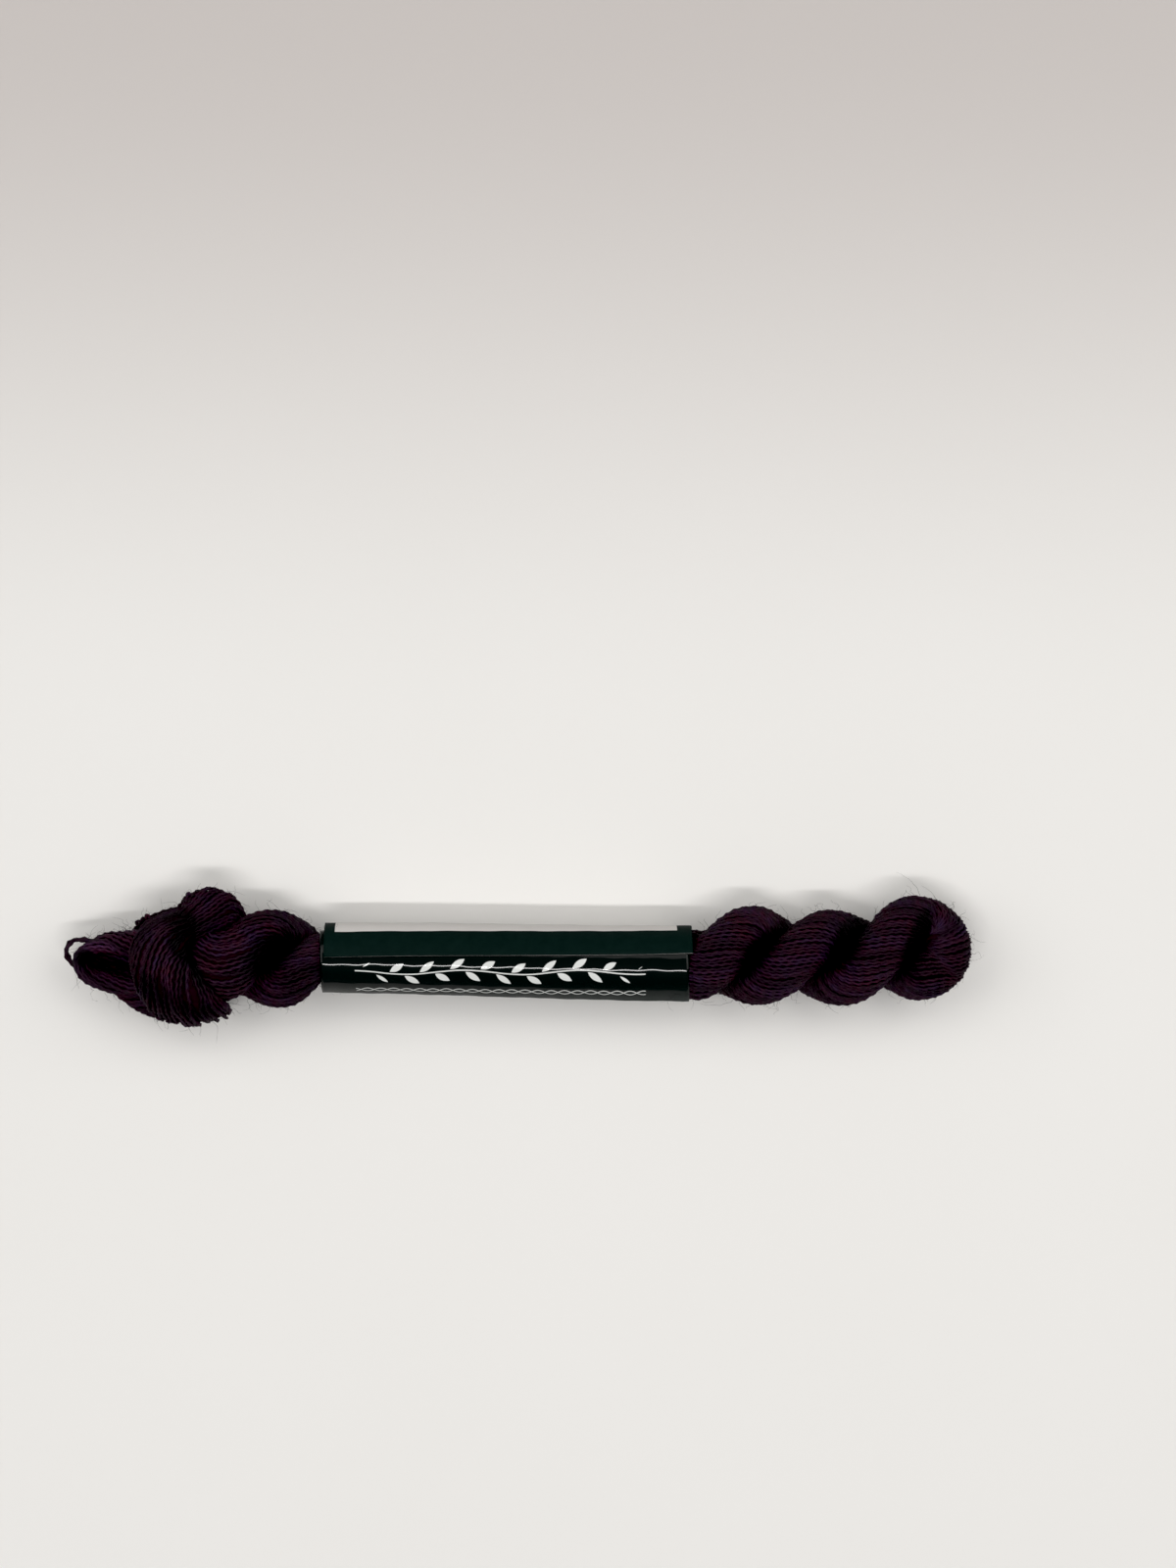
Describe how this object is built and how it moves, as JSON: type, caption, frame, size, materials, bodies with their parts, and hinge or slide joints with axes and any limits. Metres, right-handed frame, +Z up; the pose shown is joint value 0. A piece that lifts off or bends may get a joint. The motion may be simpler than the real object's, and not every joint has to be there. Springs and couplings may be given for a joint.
{
  "type": "skein of merino wool yarn",
  "caption": "Small twisted skein of dark plum wool yarn, folded back on itself, knotted at one end and held by a paper band round its middle.",
  "frame": {"origin": "on the table, under the middle of the skein", "axes": "+X along the skein towards the end where the twisted plies meet in a fold, +Y away from the side where the knot's wrap hangs lowest, +Z up"},
  "size_m": [0.1563, 0.0234, 0.0177],
  "materials": {
    "yarn": "soft two-ply wool thread, dark plum with maroon and violet tones, matte with a faint fuzz",
    "band_paper": "thin coated paper, dark green with a light grey panel, a plain leafy vine and a wave border, glossy on its lower layer"
  },
  "bodies": {
    "root": {"skein": "yarn", "paper_band": "band_paper"}
  },
  "joints": []
}
